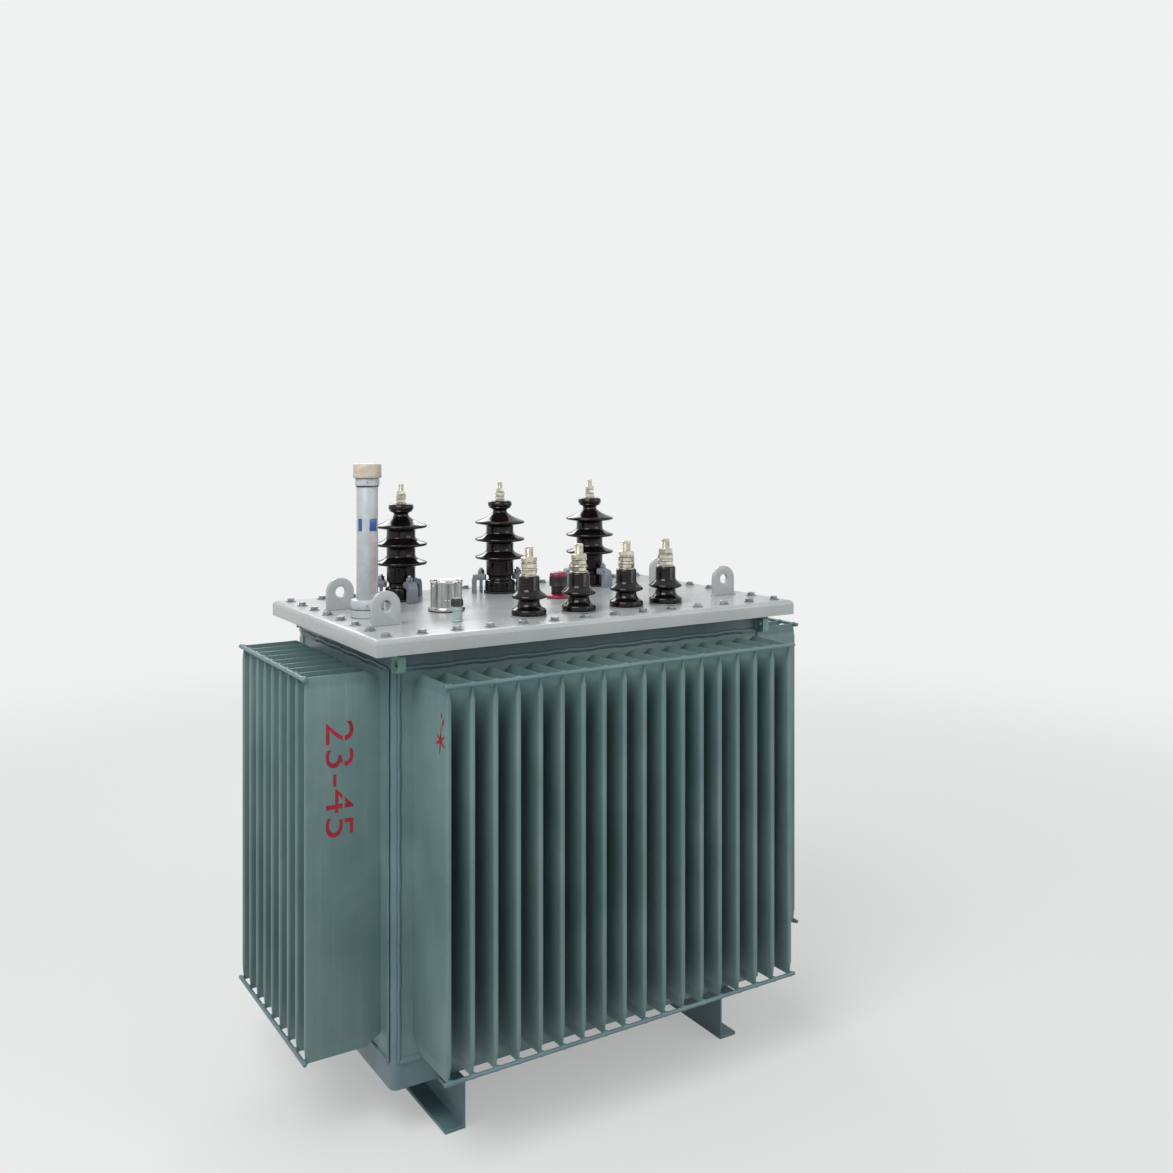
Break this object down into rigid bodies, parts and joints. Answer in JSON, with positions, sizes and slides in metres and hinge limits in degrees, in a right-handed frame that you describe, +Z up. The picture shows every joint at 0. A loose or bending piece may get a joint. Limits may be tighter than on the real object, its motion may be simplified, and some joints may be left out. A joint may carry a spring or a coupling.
{
  "type": "distribution transformer",
  "caption": "Oil-filled power transformer: tank with corrugated cooling fins, bolted lid, porcelain bushings, oil gauge and lifting eyes, standing on base channels.",
  "frame": {"origin": "on the floor under the middle of the tank", "axes": "+Z up, +X along the long side with the oil gauge at the -X end, -Y faces the low-voltage side"},
  "size_m": [1.4964, 1.0164, 1.5693],
  "materials": {
    "lid_paint": "glossy warm grey enamel",
    "tank_paint": "grey-green enamel",
    "fin_paint": "grey-green enamel with run marks",
    "brown_porcelain": "glossy dark brown glaze",
    "stud_metal": "plated steel and brass, satin",
    "gasket_rubber": "matte black",
    "gauge_metal": "satin silver",
    "gauge_cap": "satin cream",
    "stainless": "polished",
    "black_plastic": "satin",
    "red_plastic": "satin"
  },
  "bodies": {
    "root": {"lid": "lid_paint", "lid_gasket": "gasket_rubber", "tank_flange": "tank_paint", "rim_frame": "tank_paint", "tank_body": "tank_paint", "base_channel_left": "tank_paint", "base_channel_right": "tank_paint", "front_fin_bank": "fin_paint", "front_tie_rod_top": "tank_paint", "front_tie_rod_bottom": "tank_paint", "right_fin_bank": "fin_paint", "right_tie_rod_top": "tank_paint", "right_tie_rod_bottom": "tank_paint", "back_fin_bank": "fin_paint", "back_tie_rod_top": "tank_paint", "back_tie_rod_bottom": "tank_paint", "left_fin_bank": "fin_paint", "left_tie_rod_top": "tank_paint", "left_tie_rod_bottom": "tank_paint", "lid_lug_front_left": "lid_paint", "corner_lug_front_left": "tank_paint", "lid_lug_back_left": "lid_paint", "corner_lug_back_left": "tank_paint", "lid_lug_front_right": "lid_paint", "corner_lug_front_right": "tank_paint", "lid_lug_back_right": "lid_paint", "corner_lug_back_right": "tank_paint", "hv_gasket_1": "gasket_rubber", "hv_bushing_1": "brown_porcelain", "hv_terminal_1": "stud_metal", "hv_gasket_2": "gasket_rubber", "hv_bushing_2": "brown_porcelain", "hv_terminal_2": "stud_metal", "hv_gasket_3": "gasket_rubber", "hv_bushing_3": "brown_porcelain", "hv_terminal_3": "stud_metal", "lv_bushing_1": "brown_porcelain", "lv_terminal_1": "stud_metal", "lv_bushing_2": "brown_porcelain", "lv_terminal_2": "stud_metal", "lv_bushing_3": "brown_porcelain", "lv_terminal_3": "stud_metal", "lv_bushing_4": "brown_porcelain", "lv_terminal_4": "stud_metal", "gauge_tube": "gauge_metal", "gauge_cap": "gauge_cap", "relief_valve": "stainless", "thermometer_pocket": "lid_paint", "thermometer_cap": "black_plastic", "tap_changer_base": "red_plastic", "tap_changer_body": "black_plastic", "tap_changer_cover": "red_plastic"}
  },
  "joints": []
}
